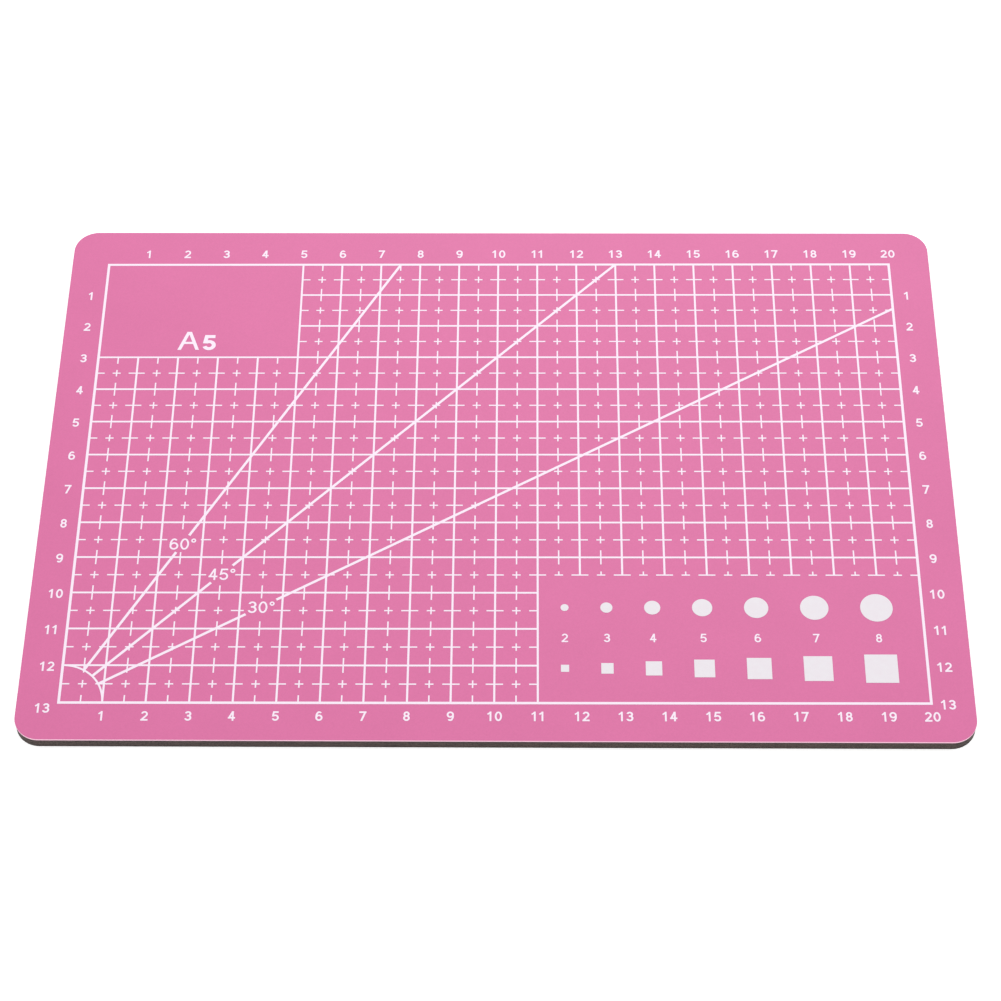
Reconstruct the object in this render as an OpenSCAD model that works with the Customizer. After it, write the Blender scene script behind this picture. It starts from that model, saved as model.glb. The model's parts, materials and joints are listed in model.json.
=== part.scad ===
// Self-healing cutting mat, A5 class: a pressed stack of plastic sheets with a white ruling printed on its
// face. All lengths are millimetres. The origin is the centre of the underside, X runs along the long side
// to the right, Y runs from the front edge to the back edge, and Z is up. The mat is one flexible slab with
// no joints.

/* [Sheets] */
// Width of the sheet on either side of the measuring field
margin_x = 9.9; // [8:0.05:20]
// Width of the sheet in front of the measuring field and behind it
margin_y = 10.25; // [8:0.05:20]
// Corner radius of the die-cut outline
corner_r = 6; // [1:0.5:12]
// Thickness of the printed skin that is cut on
top_skin_t = 0.5; // [0.2:0.05:1]
// Thickness of the dark core
core_t = 2.5; // [1:0.1:4]
// Thickness of the dark skin on the underside
base_skin_t = 0.3; // [0.2:0.05:1]

/* [Measuring field] */
// Columns of the field, one centimetre each
columns = 20; // [20:1:30]
// Rows of the field, one centimetre each
rows = 13; // [13:1:22]
// Columns that the blank window in the upper left corner takes up
title_columns = 5; // [4:1:8]
// Rows that the blank window in the upper left corner takes up
title_rows = 3; // [2:1:4]
// Columns that the gauge window in the lower right corner takes up
gauge_columns = 9; // [9:1:12]
// How far the print sits off the sheet's centre along X
print_shift_x = -0.3; // [-1:0.05:1]
// How far the print sits off the sheet's centre along Y
print_shift_y = -0.4; // [-1:0.05:1]
// How far the print is turned on the sheet, anticlockwise, in degrees
print_turn = 0.12; // [-0.5:0.01:0.5]

/* [Ink lines] */
// Height that the ink stands above the skin
ink_t = 0.05; // [0.02:0.01:0.2]
// Width of the frame around the field
frame_w = 0.64; // [0.4:0.02:1]
// Width of a full centimetre line
grid_w = 0.48; // [0.3:0.02:0.7]
// Width of a half-centimetre dash or plus sign
mark_w = 0.34; // [0.2:0.02:0.5]
// Length of a half-centimetre dash, across the line it sits on
dash_l = 4; // [2:0.5:5]
// Length of each stroke of a plus sign
plus_l = 2; // [1:0.25:3]
// Width of an angle line
angle_w = 0.64; // [0.3:0.02:0.8]
// Width of the quarter arc
arc_w = 0.46; // [0.3:0.02:0.6]

/* [Numerals] */
// Height of the numerals in the margins
numeral_h = 2.5; // [2:0.1:3]
// Stroke width of the numerals in the margins
numeral_s = 0.42; // [0.25:0.01:0.5]
// Distance from the field to the middle of the numerals above and below it
numeral_gap_y = 3.5; // [3:0.1:5]
// Distance from the field to the middle of the numerals beside it
numeral_gap_x = 3.75; // [3:0.05:5]
// Height of the angle labels
label_h = 3.2; // [2:0.05:3.5]
// Stroke width of the angle labels
label_s = 0.44; // [0.2:0.01:0.5]

/* [Gauges] */
// Printed size of a gauge for each millimetre of its number
gauge_fit = 0.95; // [0.8:0.01:1]
// Clear gap between neighbouring gauges
gauge_gap = 7.42; // [6:0.02:7.8]
// Height of the gauge numerals
gauge_numeral_h = 2.3; // [1.8:0.1:3]
// Stroke width of the gauge numerals
gauge_numeral_s = 0.36; // [0.2:0.01:0.45]

/* [Hidden] */

PINK = [0.886, 0.498, 0.682];
CORE = [0.318, 0.282, 0.271];
BASE = [0.275, 0.245, 0.24];
INK = [0.96, 0.93, 0.95];

CM = 10;
field_l = columns * CM;
field_w = rows * CM;
mat_l = field_l + 2 * margin_x;
mat_w = field_w + 2 * margin_y;
face_z = base_skin_t + core_t + top_skin_t;

// The two blank windows: their inner corners, measured from the field's lower left corner
title_x = title_columns * CM;
title_y = (rows - title_rows) * CM;
gauge_x = (columns - gauge_columns) * CM;
gauge_y = 3.5 * CM;

// Angle lines: each angle, the distance along its line to the middle of the gap for its label, and how far
// the half-centimetre marks stay off that middle to the left and to the right
ANGLES = [[30, 52, 4, 2.9], [45, 49.8, 3.7, 3.2], [60, 50.6, 3.75, 4.25]];
arc_r = CM;
label_clear_x = 3.5;
label_clear_y = 2.4;
label_offset = [0.17, -0.08];

// Digit proportions, as shares of the digit's height
DIGIT_WIDTH = 0.66;
DIGIT_PITCH = 0.79;
PITCH_OF_ELEVEN = 0.7;

// How far the numerals beside the field sit below their lines. The last one on the left sits lower still
side_numeral_drop = 0.3;
last_left_drop = 1.45;

// Gauges: the numbers printed, and the places of the rows above the field's lower edge
GAUGE_NUMBERS = [2 : 8];
gauge_lead = 5.35;
circle_row_y = 25.9;
gauge_numeral_y = 17.55;
square_row_y = 9.3;

// Size mark: its place from the title window's lower left corner, the letter's and the digit's sizes, and how
// far the digit's round foot drops below the letter's feet
size_mark_at = [19.6, 2.38];
size_letter = [5.43, 5.72];
size_letter_s = 0.9;
size_letter_apex = 1.13;
size_digit_h = 4.78;
size_digit_s = 0.94;
size_digit_stretch = 1.07;
size_digit_x = 7.88;
size_digit_drop = 0.1;

// Widest turn between two corners of the wedge that cuts an arc out of a ring, and how far past the edge a
// stroke runs that is cut off there
WEDGE_TURN = 60;
OVERCUT = 1;
$fn = 64;

// ---- Rules of the print ----

// Whether a point of the field is ruled: inside the frame and in neither blank window
function ruled(p) =
    p.x > 0 && p.x < field_l && p.y > 0 && p.y < field_w
    && !(p.x < title_x && p.y > title_y)
    && !(p.x > gauge_x && p.y < gauge_y);

// Half the width of the line at column or row number i of n: the frame at either end, a grid line between
function line_half(i, n) = (i == 0 || i == n ? frame_w : grid_w) / 2;

// The middle of the gap that an angle line leaves for its label
function gap_at(a) = a[1] * [cos(a[0]), sin(a[0])];

// Half the length of that gap
function gap_half(a) = min(label_clear_x / cos(a[0]), label_clear_y / sin(a[0]));

// Where an angle line reaches the frame
function line_end(a) = min(field_l / cos(a[0]), field_w / sin(a[0]));

// Printed size of a gauge, and the place of its middle along the gauge window
function gauge_size(n) = gauge_fit * n;
function gauge_at(n) = n == 2
    ? gauge_x + gauge_lead + gauge_size(2) / 2
    : gauge_at(n - 1) + gauge_size(n - 1) / 2 + gauge_gap + gauge_size(n) / 2;

// ---- Strokes ----

// A straight stroke of width s from p to q, with square ends
module bar(p, q, s) {
    along = q - p;
    side = [-along.y, along.x] * s / (2 * norm(along));
    polygon([p - side, q - side, q + side, p + side]);
}

// A slanting stroke of horizontal width s from p to q, with level ends
module slant(p, q, s) {
    half = [s / 2, 0];
    polygon([p - half, p + half, q + half, q - half]);
}

// A full ring of radius r about the origin, drawn with a stroke of width s
module ring(r, s) {
    difference() {
        circle(r + s / 2);
        circle(r - s / 2);
    }
}

// A round stroke of width s and radius r about c, from angle a0 up to angle a1: a ring cut by a wedge
module arc(c, r, a0, a1, s) {
    steps = ceil((a1 - a0) / WEDGE_TURN);
    turns = [for (k = [0 : steps]) a0 + k * (a1 - a0) / steps];
    reach = 3 * r;
    translate(c)
        intersection() {
            ring(r, s);
            polygon(concat([[0, 0]], [for (turn = turns) reach * [cos(turn), sin(turn)]]));
        }
}

// ---- Digits ----

// The digit n, centred on the origin, of height h and stroke width s
module digit(n, h, s) {
    a = (DIGIT_WIDTH * h - s) / 2;
    b = (h - s) / 2;
    if (n == 0) digit_0(a, b, s);
    if (n == 1) digit_1(h, s);
    if (n == 2) digit_2(a, b, s);
    if (n == 3) digit_3(a, b, s);
    if (n == 4) digit_4(a, b, s);
    if (n == 5) digit_5(a, b, s);
    if (n == 6) digit_6(a, b, s);
    if (n == 7) digit_7(a, b, s);
    if (n == 8) digit_8(b, s);
    if (n == 9) rotate(180) digit_6(a, b, s);
}

// An upright oval with half width a and half height b is four arcs that meet smoothly. These are the radii
// of its ends and of its sides, and the angle at which an end takes over from a side
function oval_end(a) = 0.7 * a;
function oval_side(a, b) = (a * a + b * (b - 2 * oval_end(a))) / (2 * (a - oval_end(a)));
function oval_turn(a, b) = atan2(b - oval_end(a), oval_side(a, b) - a);

// In the digits, a and b are half the width and half the height of the stroke's middle line
module digit_0(a, b, s) {
    turn = oval_turn(a, b);
    for (half = [0, 180]) rotate(half) {
        arc([a - oval_side(a, b), 0], oval_side(a, b), -turn, turn, s);
        arc([0, b - oval_end(a)], oval_end(a), turn, 180 - turn, s);
    }
}

// A stem with a thinner flag that falls to the left
module digit_1(h, s) {
    stem_x = 0.07 * h;
    bar([stem_x, -h / 2], [stem_x, h / 2], s);
    bar([-0.21 * h, 0.2 * h], [stem_x, 0.42 * h], 0.85 * s);
}

// A round head whose lower end runs straight down to a foot
module digit_2(a, b, s) {
    r = 0.94 * a;
    hook = -40;
    top = [0, b - r];
    arc(top, r, hook, 165, s);
    bar(top + r * [cos(hook), sin(hook)], [-a, -b], s);
    bar([-a - s / 2, -b], [a + s / 2, -b], s);
}

// Two open bowls that meet at a short bar, widened until the lower one fills the digit's width
module digit_3(a, b, s) {
    r_top = 0.47 * b;
    r_low = b - r_top;
    scale([(a + s / 2) / (r_low + s / 2), 1]) {
        arc([0, b - r_top], r_top, -90, 165, s);
        arc([0, r_low - b], r_low, -165, 90, s);
        bar([-0.35 * a, b - 2 * r_top], [0.05 * a, b - 2 * r_top], s);
    }
}

// A stem, an arm across it and a slant from the arm's end to the stem's top
module digit_4(a, b, s) {
    stem_x = 0.45 * a;
    arm_y = -0.45 * b;
    bar([stem_x, -b - s / 2], [stem_x, b + s / 2], s);
    bar([-a - s / 2, arm_y], [a + s / 2, arm_y], s);
    slant([-0.92 * a, arm_y], [stem_x, b + s / 2], 1.1 * s);
}

// An open bowl, a back that leans to the right and a flag
module digit_5(a, b, s) {
    arc([0, a - b], a, -160, 130, s);
    slant([-0.92 * a, -0.12 * b], [-0.55 * a, b + s / 2], s);
    bar([-0.55 * a, b], [a + s / 4, b], s);
}

// A ring with a curved back that turns over at the top
module digit_6(a, b, s) {
    turn = oval_turn(a, b);
    translate([0, a - b]) ring(a, s);
    bar([-a, a - b], [-a, 0], s);
    arc([oval_side(a, b) - a, 0], oval_side(a, b), 180 - turn, 180, s);
    arc([0, b - oval_end(a)], oval_end(a), 25, 180 - turn, s);
}

// A flag and a slanting leg
module digit_7(a, b, s) {
    bar([-a - s / 2, b], [a + s / 2, b], s);
    slant([-0.5 * a, -b - s / 2], [0.88 * a, b], 1.1 * s);
}

// Two rings, the upper one smaller
module digit_8(b, s) {
    r_top = 0.47 * b;
    translate([0, b - r_top]) ring(r_top, s);
    translate([0, -r_top]) ring(b - r_top, s);
}

// A whole number below 100, centred on the origin
module number(n, h, s) {
    if (n < 10) {
        digit(n, h, s);
    } else {
        half = (n == 11 ? PITCH_OF_ELEVEN : DIGIT_PITCH) * h / 2;
        translate([-half, 0]) digit(floor(n / 10), h, s);
        translate([half, 0]) digit(n % 10, h, s);
    }
}

// ---- Sheets ----

// The die-cut outline that every sheet shares
module outline() {
    square([mat_l - 2 * corner_r, mat_w], center = true);
    square([mat_l, mat_w - 2 * corner_r], center = true);
    for (x = [-1, 1], y = [-1, 1])
        translate([x * (mat_l / 2 - corner_r), y * (mat_w / 2 - corner_r)]) circle(corner_r);
}

module base_skin() {
    color(BASE) linear_extrude(base_skin_t) outline();
}

module core_sheet() {
    color(CORE) translate([0, 0, base_skin_t]) linear_extrude(core_t) outline();
}

module top_skin() {
    color(PINK) translate([0, 0, base_skin_t + core_t]) linear_extrude(top_skin_t) outline();
}

// ---- Ink ----

// Raises a drawing of the field, made from its lower left corner, as an ink film on the skin
module ink() {
    color(INK)
        translate([print_shift_x, print_shift_y, face_z]) rotate(print_turn)
            linear_extrude(ink_t) translate([-field_l / 2, -field_w / 2]) children();
}

module border_frame() {
    ink() difference() {
        translate([-frame_w / 2, -frame_w / 2]) square([field_l + frame_w, field_w + frame_w]);
        translate([frame_w / 2, frame_w / 2]) square([field_l - frame_w, field_w - frame_w]);
    }
}

// Full lines start and end at the frame's inner edge, or at a window's edge
module grid_drawing() {
    inner = frame_w / 2;
    for (i = [1 : columns - 1]) {
        low = i * CM > gauge_x ? gauge_y - mark_w / 2 : inner;
        high = i * CM < title_x ? title_y : field_w - inner;
        bar([i * CM, low], [i * CM, high], grid_w);
    }
    for (j = [1 : rows - 1]) {
        left = j * CM > title_y ? title_x : inner;
        right = j * CM < gauge_y ? gauge_x : field_l - inner;
        bar([left, j * CM], [right, j * CM], grid_w);
    }
}

module centimetre_grid() {
    ink() grid_drawing();
}

// The two arms of a dash that crosses a line at p. An arm starts at the line's edge, and is left out where
// it would fall outside the ruled field
module dash_arms(p, direction, edge) {
    for (way = [-1, 1])
        if (ruled(p + way * direction * dash_l / 4))
            bar(p + way * direction * edge, p + way * direction * dash_l / 2, mark_w);
}

// The plus sign in the middle of a cell. On the gauge window's edge it has no lower arm
module plus_sign(p) {
    low = ruled(p - [0, plus_l / 4]) ? -plus_l / 2 : -mark_w / 2;
    bar(p - [plus_l / 2, 0], p + [plus_l / 2, 0], mark_w);
    bar(p + [0, low], p + [0, plus_l / 2], mark_w);
}

// What the half-centimetre marks keep clear of: boxes around the angle labels, the angle lines and the arc
module mark_clearings() {
    for (a = ANGLES)
        translate(gap_at(a) - [a[2], label_clear_y])
            square([a[2] + a[3], 2 * label_clear_y]);
    angle_line_drawing();
    arc_drawing();
}

module half_centimetre_dashes() {
    ink() difference() {
        union() {
            for (i = [0 : columns - 1], j = [0 : rows])
                dash_arms([(i + 0.5) * CM, j * CM], [0, 1], line_half(j, rows));
            for (i = [0 : columns], j = [0 : rows - 1])
                dash_arms([i * CM, (j + 0.5) * CM], [1, 0], line_half(i, columns));
        }
        mark_clearings();
    }
}

module cell_crosses() {
    ink() difference() {
        for (i = [0 : columns - 1], j = [0 : rows - 1])
            if (ruled([i + 0.5, j + 0.5] * CM + [0, plus_l / 4]))
                plus_sign([i + 0.5, j + 0.5] * CM);
        mark_clearings();
    }
}

module arc_drawing() {
    arc([0, 0], arc_r, 0, 90, arc_w);
}

module angle_arc() {
    ink() difference() {
        arc_drawing();
        grid_and_frame_cover();
    }
}

// Each angle line runs out from the arc, stops for its label and ends at the frame
module angle_line_drawing() {
    for (a = ANGLES) {
        way = [cos(a[0]), sin(a[0])];
        bar(way * arc_r, way * (a[1] - gap_half(a)), angle_w);
        bar(way * (a[1] + gap_half(a)), way * (line_end(a) + OVERCUT), angle_w);
    }
}

// What the arc and the angle lines are cut back from, so that no two ink films overlap
module grid_and_frame_cover() {
    grid_drawing();
    difference() {
        translate([-CM, -CM]) square([field_l + 2 * CM, field_w + 2 * CM]);
        translate([frame_w / 2, frame_w / 2]) square([field_l - frame_w, field_w - frame_w]);
    }
}

module angle_lines() {
    ink() difference() {
        angle_line_drawing();
        arc_drawing();
        grid_and_frame_cover();
    }
}

// Two digits and a degree ring in the gap of each angle line
module angle_labels() {
    ring_r = 0.13 * label_h;
    number_x = -0.3 * label_h;
    ring_at = [0.75, 0.31] * label_h;
    ink() for (a = ANGLES)
        translate(gap_at(a) + label_offset) {
            translate([number_x, 0]) number(a[0], label_h, label_s);
            translate(ring_at) ring(ring_r, 0.8 * label_s);
        }
}

module row_numerals(y) {
    ink() for (n = [1 : columns])
        translate([n * CM, y]) number(n, numeral_h, numeral_s);
}

module top_numerals() {
    row_numerals(field_w + numeral_gap_y);
}

module bottom_numerals() {
    row_numerals(-numeral_gap_y);
}

// Rows are numbered downwards. The last number can sit lower, clear of the corner
module column_numerals(x, last_drop) {
    ink() for (n = [1 : rows])
        translate([x, field_w - n * CM - (n == rows ? last_drop : side_numeral_drop)])
            number(n, numeral_h, numeral_s);
}

module left_numerals() {
    column_numerals(-numeral_gap_x, last_left_drop);
}

module right_numerals() {
    column_numerals(field_l + numeral_gap_x, side_numeral_drop);
}

module circle_gauges() {
    ink() for (n = GAUGE_NUMBERS)
        translate([gauge_at(n), circle_row_y]) circle(d = gauge_size(n));
}

module square_gauges() {
    ink() for (n = GAUGE_NUMBERS)
        translate([gauge_at(n), square_row_y]) square(gauge_size(n), center = true);
}

module gauge_numerals() {
    ink() for (n = GAUGE_NUMBERS)
        translate([gauge_at(n), gauge_numeral_y]) digit(n, gauge_numeral_h, gauge_numeral_s);
}

// A capital A in a box of w by h from the origin, with strokes of horizontal width s
module letter_a(w, h, s) {
    lean = (w - size_letter_apex) / (2 * h);
    bar_low = 0.325 * h;
    bar_high = 0.44 * h;
    inner = w / 2 - s;
    translate([w / 2, 0]) difference() {
        polygon([
            [-w / 2, 0], [w / 2, 0],
            [size_letter_apex / 2, h], [-size_letter_apex / 2, h]
        ]);
        polygon([
            [-inner, 0], [inner, 0],
            [inner - lean * bar_low, bar_low], [lean * bar_low - inner, bar_low]
        ]);
        polygon([
            [lean * bar_high - inner, bar_high], [inner - lean * bar_high, bar_high],
            [0, inner / lean]
        ]);
    }
}

module size_mark() {
    ink() translate([0, title_y] + size_mark_at) {
        letter_a(size_letter.x, size_letter.y, size_letter_s);
        translate([size_digit_x, size_digit_h / 2 - size_digit_drop])
            scale([size_digit_stretch, 1]) digit(5, size_digit_h, size_digit_s);
    }
}

top_skin();
core_sheet();
base_skin();
border_frame();
centimetre_grid();
half_centimetre_dashes();
cell_crosses();
angle_arc();
angle_lines();
angle_labels();
top_numerals();
bottom_numerals();
left_numerals();
right_numerals();
circle_gauges();
square_gauges();
gauge_numerals();
size_mark();
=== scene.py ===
"""The looks of a self-healing cutting mat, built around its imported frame. Lengths are metres."""

import json
import math

import bmesh
import bpy
from mathutils import Matrix, Vector, noise


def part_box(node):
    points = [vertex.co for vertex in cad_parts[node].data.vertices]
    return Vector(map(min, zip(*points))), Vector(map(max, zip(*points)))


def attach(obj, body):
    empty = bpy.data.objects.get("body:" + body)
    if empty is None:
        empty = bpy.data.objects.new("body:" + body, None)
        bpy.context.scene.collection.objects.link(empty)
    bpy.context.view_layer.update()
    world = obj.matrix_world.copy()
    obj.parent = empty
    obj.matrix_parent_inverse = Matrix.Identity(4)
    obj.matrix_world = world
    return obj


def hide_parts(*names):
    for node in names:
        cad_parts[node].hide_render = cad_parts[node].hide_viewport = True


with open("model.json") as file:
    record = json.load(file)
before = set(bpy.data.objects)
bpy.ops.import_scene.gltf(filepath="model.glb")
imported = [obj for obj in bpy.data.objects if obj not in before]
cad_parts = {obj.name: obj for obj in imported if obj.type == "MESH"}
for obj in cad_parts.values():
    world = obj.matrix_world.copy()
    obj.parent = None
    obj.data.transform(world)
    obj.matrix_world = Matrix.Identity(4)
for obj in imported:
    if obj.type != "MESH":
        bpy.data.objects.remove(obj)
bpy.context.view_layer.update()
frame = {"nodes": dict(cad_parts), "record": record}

BODY = "root"
MM = 0.001
MICRON = 0.000001

# Sheets
EDGE_ROUNDING = 0.12 * MM         # of the top skin's die-cut upper edge
BASE_ROUNDING = 0.12 * MM         # of the underside's edge
ROUNDING_STEPS = 6
CORNER_STEPS = 24
SKIN_SPACING = 5 * MM             # between the points along a smooth edge
CORE_SPACING = 0.6 * MM           # between the points along the core's rough edge
CORE_RINGS = 10
CAP_CELL = 10 * MM                # flat faces are cut into squares of this size
CUT_DEPTH = 0.05 * MM             # deepest hollow that the cutter left in the core's side
CUT_LENGTH = 3 * MM               # length of such a hollow along the edge, and its height
CUT_HEIGHT = 0.7 * MM
TOUCH = 0.001 * MM                # points this close lie on the same line
SHARP_ANGLE = math.radians(40)    # an edge that turns more than this is shaded as a hard one

# Colours, as linear light
WHITE = (1, 1, 1)
PINK = (0.607, 0.125, 0.305)
PALE_EDGE = (0.86, 0.50, 0.64)    # the skin's rounded edge and side: a painted highlight along the edge, partly the die's whitening of the cut
CORE_DARK = (0.022, 0.015, 0.013)
CORE_LIGHT = (0.076, 0.052, 0.046)
BASE_DARK = (0.028, 0.021, 0.020)
BASE_LIGHT = (0.100, 0.080, 0.076)
LINE_WHITE = (0.835, 0.735, 0.832)
SOLID_WHITE = (0.728, 0.702, 0.738)
FLOOR_WHITE = (0.90, 0.90, 0.90)

# Patterns: how large their blotches are, and how deep their relief is
NOISE_RANGE = (0.3, 0.7)          # nearly all of a noise lies between these
SKIN_CLOUD = 14 * MM
SKIN_SPECK = 0.35 * MM
SKIN_GRAIN = 0.28 * MM
SKIN_SWELL = 2.5 * MM
SKIN_SWELL_HEIGHT = 3             # in heights of the grain
SKIN_RELIEF = 8 * MICRON
CORE_STREAK = (5 * MM, 5 * MM, 0.22 * MM)
CORE_CRUMB = 0.4 * MM
CORE_RELIEF = 40 * MICRON
BASE_PEBBLE = 0.9 * MM
BASE_WEAR = 18 * MM
BASE_RELIEF = 60 * MICRON
INK_CLOUD = 1.6 * MM
INK_MESH = 0.16 * MM
INK_GRAIN = 0.2 * MM
INK_RELIEF = 6 * MICRON

# Patterns: how strongly they show
SKIN_CLOUD_SHADES = (0.985, 1.015)
SKIN_SPECK_SHADES = (0.97, 1.03)
SKIN_TURN = (0.3, 0.6)            # upward part of the normal where the skin is pale, and where pink
CORE_RANGE = (0.85, 1.15)         # streaks plus crumbs where the core is dark, and where it is light
BASE_PEBBLE_SLOPE = (0.1, 0.6)    # where a pebble's slope starts and ends, in pebbles from its middle
BASE_PEBBLE_SHARE = 0.55          # painted shade: how far a pebble's top goes from the dark of its shaded hollow to light
BASE_WEAR_SHARES = (-0.05, 0.3)
LINE_THINNESS = 0.03              # how much of the skin shows through the ink where it is thinnest
SOLID_THINNESS = 0.04

# Roughness and shine
SKIN_ROUGHNESS = (0.44, 0.56)
CORE_ROUGHNESS = 0.75
BASE_ROUGHNESS = 0.7
INK_ROUGHNESS = 0.62
FLOOR_ROUGHNESS = 0.9
DULL_SHINE = 0.3                  # of the dark sheets, where the shader's own is 0.5
INK_SHINE = 0.4

# Camera: where it stands round the mat, in degrees, and the point it aims at
CAMERA_AZIMUTH = 1.252
CAMERA_ELEVATION = 55.336
CAMERA_ROLL = -0.909
CAMERA_DISTANCE = 0.6464
CAMERA_AIM = Vector((0.79, -8.96, 3.3)) * MM
LENS = 96.44                      # millimetres, as is the sensor's width
SENSOR_WIDTH = 36
NEAREST = 10 * MM                 # anything closer to the camera isn't drawn

# Studio
SKY = 1.0
LAMP_WATTS = 1.6
LAMP_SIZE = 0.5
LAMP_AZIMUTH = 172
LAMP_ELEVATION = 42
LAMP_DISTANCE = 0.7
FLOOR_SIZE = 4
FLOOR_GLOW = 0.45                 # light of the floor's own, as of a lit table, which thins the shadow
FLOOR_DROP = 0.02 * MM            # keeps the floor clear of the underside


# ---- Sheets ----

def corner_radius(node):
    """The corner radius of a sheet, read off where its CAD node's front edge ends."""
    low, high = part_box(node)
    vertices = frame["nodes"][node].data.vertices
    front = [v.co.x for v in vertices if v.co.y - low.y < TOUCH]
    return high.x - max(front)


def outline(node, spacing):
    """Points round a sheet's edge, anticlockwise, each with its outward normal."""
    _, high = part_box(node)
    radius = corner_radius(node)
    corners = [(1, -1), (1, 1), (-1, 1), (-1, -1)]
    points = []
    for turn, (side_x, side_y) in enumerate(corners):
        centre = Vector((side_x * (high.x - radius), side_y * (high.y - radius), 0))
        for k in range(CORNER_STEPS + 1):
            angle = (turn - 1 + k / CORNER_STEPS) * math.pi / 2
            normal = Vector((math.cos(angle), math.sin(angle), 0))
            points.append((centre + radius * normal, normal))
        run = 2 * ((high.x if turn % 2 else high.y) - radius)
        steps = math.ceil(run / spacing)
        step = Vector((-normal.y, normal.x, 0)) * run / steps
        points += [(centre + radius * normal + k * step, normal) for k in range(1, steps)]
    return points


def rounding(radius, centre_height, start, end):
    """(inset, height) pairs round a quarter circle that is tangent to the sheet's side."""
    angles = [start + (end - start) * k / ROUNDING_STEPS for k in range(ROUNDING_STEPS + 1)]
    return [
        (radius * (1 - math.cos(angle)), centre_height + radius * math.sin(angle))
        for angle in angles
    ]


def cut_depth(point):
    """How far the cutter bit into the side at a point. The noise itself runs from -1 to 1."""
    place = Vector((point.x / CUT_LENGTH, point.y / CUT_LENGTH, point.z / CUT_HEIGHT))
    return CUT_DEPTH * (1 + noise.noise(place)) / 2


def add_rings(bm, rim, profile, rough):
    """One ring of vertices for each (inset, height) pair. Rough rings are cut back unevenly."""
    rings = []
    for inset, height in profile:
        ring = []
        for point, normal in rim:
            place = point - inset * normal
            place.z = height
            if rough:
                place -= normal * cut_depth(place)
            ring.append(bm.verts.new(place))
        rings.append(ring)
    return rings


def cut_into_cells(bm, half_size):
    """Cuts the flat faces into squares, so that none is one huge polygon."""
    for axis in (0, 1):
        normal = Vector((axis == 0, axis == 1, 0))
        count = math.ceil(2 * half_size[axis] / CAP_CELL)
        for k in range(1, count):
            place = normal * (2 * k / count - 1) * half_size[axis]
            parts = bm.verts[:] + bm.edges[:] + bm.faces[:]
            bmesh.ops.bisect_plane(bm, geom=parts, dist=TOUCH, plane_co=place, plane_no=normal)


def make_sheet(name, node, profile, spacing, rough=False):
    """A closed sheet that stands for a CAD node: a profile swept round its outline."""
    rim = outline(node, spacing)
    bm = bmesh.new()
    rings = add_rings(bm, rim, profile, rough)
    for low, high in zip(rings, rings[1:]):
        for i in range(len(rim)):
            j = (i + 1) % len(rim)
            bm.faces.new((low[i], low[j], high[j], high[i])).smooth = True
    bm.faces.new(reversed(rings[0]))
    bm.faces.new(rings[-1])
    for edge in bm.edges:
        edge.smooth = edge.calc_face_angle() < SHARP_ANGLE
    cut_into_cells(bm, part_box(node)[1])
    mesh = bpy.data.meshes.new(name)
    bm.to_mesh(mesh)
    bm.free()
    sheet = bpy.data.objects.new(name, mesh)
    bpy.context.scene.collection.objects.link(sheet)
    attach(sheet, BODY)
    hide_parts(node)
    return sheet


def cutting_skin():
    """The pink skin, with a rounded upper edge."""
    low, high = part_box("top_skin")
    edge = rounding(EDGE_ROUNDING, high.z - EDGE_ROUNDING, 0, math.pi / 2)
    return make_sheet("cutting_skin", "top_skin", [(0, low.z)] + edge, SKIN_SPACING)


def dark_core():
    """The core, whose side shows the marks of the cutter."""
    low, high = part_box("core_sheet")
    step = (high.z - low.z) / CORE_RINGS
    side = [(0, low.z + k * step) for k in range(CORE_RINGS + 1)]
    return make_sheet("dark_core", "core_sheet", side, CORE_SPACING, rough=True)


def grip_skin():
    """The thin skin underneath, with a rounded lower edge."""
    low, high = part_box("base_skin")
    edge = rounding(BASE_ROUNDING, low.z + BASE_ROUNDING, -math.pi / 2, 0)
    return make_sheet("grip_skin", "base_skin", edge + [(0, high.z)], SKIN_SPACING)


# ---- Materials ----

# Sockets of a Mix node that mixes colours. They have to be told apart by number
MIX_SHARE = 0
MIX_FIRST = 6
MIX_SECOND = 7
MIX_RESULT = 2


def opaque(colour):
    """A colour in the form that a shader takes. One that comes from a node already has it."""
    return colour if isinstance(colour, bpy.types.NodeSocket) else (*colour, 1)


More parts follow.
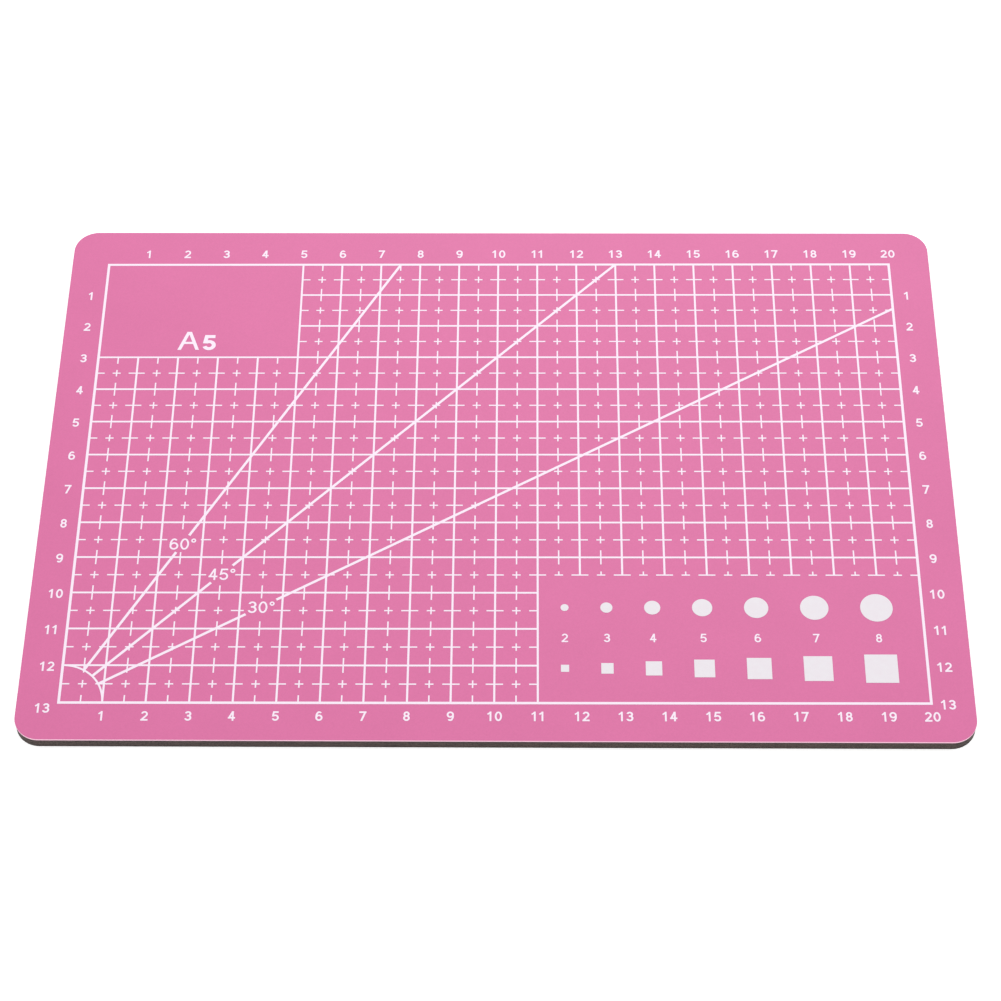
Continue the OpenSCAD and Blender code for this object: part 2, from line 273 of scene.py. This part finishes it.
class Look:
    """A material built round one Principled shader, with its patterns laid out in the row frame."""

    def __init__(self, name):
        self.material = bpy.data.materials.new(name)
        self.material.use_nodes = True
        self.tree = self.material.node_tree
        self.surface = self.tree.nodes["Principled BSDF"]
        self.place = self.add("TexCoord").outputs["Object"]

    def add(self, kind, inputs=None, **settings):
        """A new node. Its inputs are given by name or number, as values or as sockets."""
        node = self.tree.nodes.new("ShaderNode" + kind)
        for key, value in settings.items():
            setattr(node, key, value)
        for key, value in (inputs or {}).items():
            self.feed(node.inputs[key], value)
        return node

    def feed(self, socket, value):
        """Joins a socket to another one, or gives it a fixed value."""
        if isinstance(value, bpy.types.NodeSocket):
            self.tree.links.new(value, socket)
        else:
            socket.default_value = value

    def give(self, name, value):
        """Feeds one input of the surface's shader."""
        self.feed(self.surface.inputs[name], value)

    def scaled_place(self, size):
        """The place, measured in units of size: one length, or one for each axis."""
        sizes = size if isinstance(size, tuple) else (size, size, size)
        scale = tuple(1 / length for length in sizes)
        return self.add("VectorMath", {0: self.place, 1: scale}, operation="MULTIPLY").outputs[0]

    def blotches(self, size, detail=2):
        """Noise of 0 to 1, with blotches about size across."""
        inputs = {"Vector": self.scaled_place(size), "Scale": 1, "Detail": detail}
        return self.add("TexNoise", inputs).outputs["Fac"]

    def spread(self, value, after, before=NOISE_RANGE):
        """Takes a value from the range before to the range after, and holds it there."""
        inputs = {
            "Value": value,
            "From Min": before[0],
            "From Max": before[1],
            "To Min": after[0],
            "To Max": after[1],
        }
        return self.add("MapRange", inputs).outputs["Result"]

    def mix(self, share, first, second):
        """A colour between two others. The share is the second one's."""
        inputs = {MIX_SHARE: share, MIX_FIRST: opaque(first), MIX_SECOND: opaque(second)}
        return self.add("Mix", inputs, data_type="RGBA").outputs[MIX_RESULT]

    def shade(self, colour, brightness):
        """A colour made brighter or darker."""
        inputs = {"Color": opaque(colour), "Value": brightness}
        return self.add("HueSaturation", inputs).outputs["Color"]

    def add_up(self, first, second):
        """The sum of two values."""
        return self.add("Math", {0: first, 1: second}, operation="ADD").outputs[0]

    def times(self, first, second):
        """The product of two values."""
        return self.add("Math", {0: first, 1: second}, operation="MULTIPLY").outputs[0]

    def bump(self, height, depth):
        """Relief: height of 0 to 1, over a depth in metres."""
        node = self.add("Bump", {"Height": height, "Distance": depth, "Strength": 1})
        self.give("Normal", node.outputs["Normal"])


def pink_skin():
    """Soft PVC with a satin grain. It is paler where its surface turns from facing up round the edge:
    a painted highlight, partly the die's whitening of the cut.
    """
    look = Look("pink_pvc")
    clouds = look.spread(look.blotches(SKIN_CLOUD, detail=3), SKIN_CLOUD_SHADES)
    specks = look.spread(look.blotches(SKIN_SPECK), SKIN_SPECK_SHADES)
    pink = look.shade(PINK, look.times(clouds, specks))
    normal = look.add("NewGeometry").outputs["Normal"]
    facing_up = look.add("SeparateXYZ", {"Vector": normal}).outputs["Z"]
    # painted highlight: the skin pales as its surface turns from facing up, partly also the die's
    # whitening of the cut edge
    edge_highlight_and_whitening = look.spread(facing_up, (1, 0), SKIN_TURN)
    look.give("Base Color", look.mix(edge_highlight_and_whitening, pink, PALE_EDGE))
    grain = look.blotches(SKIN_GRAIN, detail=3)
    swell = look.times(look.blotches(SKIN_SWELL), SKIN_SWELL_HEIGHT)
    look.bump(look.add_up(grain, swell), SKIN_RELIEF)
    look.give("Roughness", look.spread(grain, SKIN_ROUGHNESS))
    return look.material


def core_rubber():
    """Dull recycled PVC, with streaks along its cut side and paler flecks."""
    look = Look("core_pvc")
    streaks = look.blotches(CORE_STREAK, detail=3)
    crumbs = look.blotches(CORE_CRUMB)
    pattern = look.add_up(streaks, crumbs)
    look.give("Base Color", look.mix(look.spread(pattern, (0, 1), CORE_RANGE), CORE_DARK, CORE_LIGHT))
    look.bump(pattern, CORE_RELIEF)
    look.give("Roughness", CORE_ROUGHNESS)
    look.give("Specular IOR Level", DULL_SHINE)
    return look.material


def base_grip():
    """Dull PVC with a fine pebble texture that keeps the mat from sliding, with painted shade in the
    hollows between the pebbles and lighter worn patches.
    """
    look = Look("grip_pvc")
    pebbles = look.add("TexVoronoi", {"Vector": look.scaled_place(BASE_PEBBLE), "Scale": 1})
    height = look.spread(pebbles.outputs["Distance"], (1, 0), BASE_PEBBLE_SLOPE)
    wear = look.spread(look.blotches(BASE_WEAR, detail=3), BASE_WEAR_SHARES)
    # painted shade: darker in the hollows between pebbles, lighter on their tops, plus the wear
    light = look.add_up(look.times(height, BASE_PEBBLE_SHARE), wear)
    look.give("Base Color", look.mix(light, BASE_DARK, BASE_LIGHT))
    look.bump(height, BASE_RELIEF)
    look.give("Roughness", BASE_ROUGHNESS)
    look.give("Specular IOR Level", DULL_SHINE)
    return look.material


def screen_ink(name, white, thinness):
    """Matt white ink, put down through a mesh, which lets a little of the skin show."""
    look = Look(name)
    clouds = look.spread(look.blotches(INK_CLOUD, detail=3), (0, thinness))
    mesh_marks = look.spread(look.blotches(INK_MESH), (0, thinness))
    look.give("Base Color", look.mix(look.add_up(clouds, mesh_marks), white, PINK))
    look.bump(look.blotches(INK_GRAIN), INK_RELIEF)
    look.give("Roughness", INK_ROUGHNESS)
    look.give("Specular IOR Level", INK_SHINE)
    return look.material


def paint(obj, material):
    """Gives an object one material, in place of any it came with."""
    obj.data.materials.clear()
    obj.data.materials.append(material)


def paint_print():
    """Inks the printed CAD nodes by the material slots that the record gives them."""
    inks = {
        "line_ink": screen_ink("line_ink", LINE_WHITE, LINE_THINNESS),
        "solid_ink": screen_ink("solid_ink", SOLID_WHITE, SOLID_THINNESS),
    }
    for part in frame["record"]["subparts"]:
        if part["material_slot"] in inks:
            paint(frame["nodes"][part["node"]], inks[part["material_slot"]])


# ---- Studio ----

def floor_paint():
    """A matt white, open from below so that the underside can be looked at."""
    look = Look("floor_white")
    look.give("Base Color", opaque(FLOOR_WHITE))
    look.give("Roughness", FLOOR_ROUGHNESS)
    look.give("Specular IOR Level", 0)
    look.give("Emission Color", opaque(WHITE))
    look.give("Emission Strength", FLOOR_GLOW)
    from_below = look.add("NewGeometry").outputs["Backfacing"]
    clear = look.add("BsdfTransparent").outputs[0]
    shown = look.add("MixShader", {0: from_below, 1: look.surface.outputs[0], 2: clear})
    output = look.tree.nodes["Material Output"]
    look.feed(output.inputs["Surface"], shown.outputs[0])
    return look.material


def add_floor():
    """A wide pale table that the mat lies on."""
    half = FLOOR_SIZE / 2
    bm = bmesh.new()
    corners = [(-half, -half), (half, -half), (half, half), (-half, half)]
    bm.faces.new([bm.verts.new((x, y, -FLOOR_DROP)) for x, y in corners])
    mesh = bpy.data.meshes.new("floor")
    bm.to_mesh(mesh)
    bm.free()
    floor = bpy.data.objects.new("floor", mesh)
    bpy.context.scene.collection.objects.link(floor)
    paint(floor, floor_paint())


def direction(azimuth, elevation):
    """The unit vector from the mat towards a place round it, in degrees. Azimuth 0 is in front."""
    a, e = math.radians(azimuth), math.radians(elevation)
    return Vector((math.sin(a) * math.cos(e), -math.cos(a) * math.cos(e), math.sin(e)))


def add_sky():
    """Even white light from all round."""
    world = bpy.data.worlds.new("studio")
    world.use_nodes = True
    background = world.node_tree.nodes["Background"]
    background.inputs["Color"].default_value = opaque(WHITE)
    background.inputs["Strength"].default_value = SKY
    bpy.context.scene.world = world


def add_lamp():
    """A softbox behind the mat, which brightens its far side."""
    light = bpy.data.lights.new("softbox", "AREA")
    light.energy = LAMP_WATTS
    light.size = LAMP_SIZE
    lamp = bpy.data.objects.new("softbox", light)
    towards = direction(LAMP_AZIMUTH, LAMP_ELEVATION)
    lamp.location = towards * LAMP_DISTANCE
    lamp.rotation_euler = towards.to_track_quat("Z", "Y").to_euler()
    bpy.context.scene.collection.objects.link(lamp)


def add_camera():
    """A camera in front of the mat and above it, turned a little about its own axis."""
    back = direction(CAMERA_AZIMUTH, CAMERA_ELEVATION)
    level = (-back).to_track_quat("-Z", "Y").to_matrix()
    rolled = level @ Matrix.Rotation(math.radians(CAMERA_ROLL), 3, "Z")
    data = bpy.data.cameras.new("camera")
    data.lens = LENS
    data.sensor_width = SENSOR_WIDTH
    data.clip_start = NEAREST
    camera = bpy.data.objects.new("camera", data)
    camera.matrix_world = Matrix.Translation(CAMERA_AIM + back * CAMERA_DISTANCE) @ rolled.to_4x4()
    bpy.context.scene.collection.objects.link(camera)
    bpy.context.scene.camera = camera


paint(cutting_skin(), pink_skin())
paint(dark_core(), core_rubber())
paint(grip_skin(), base_grip())
paint_print()
add_floor()
add_sky()
add_lamp()
add_camera()
bpy.context.scene.view_settings.view_transform = "Standard"
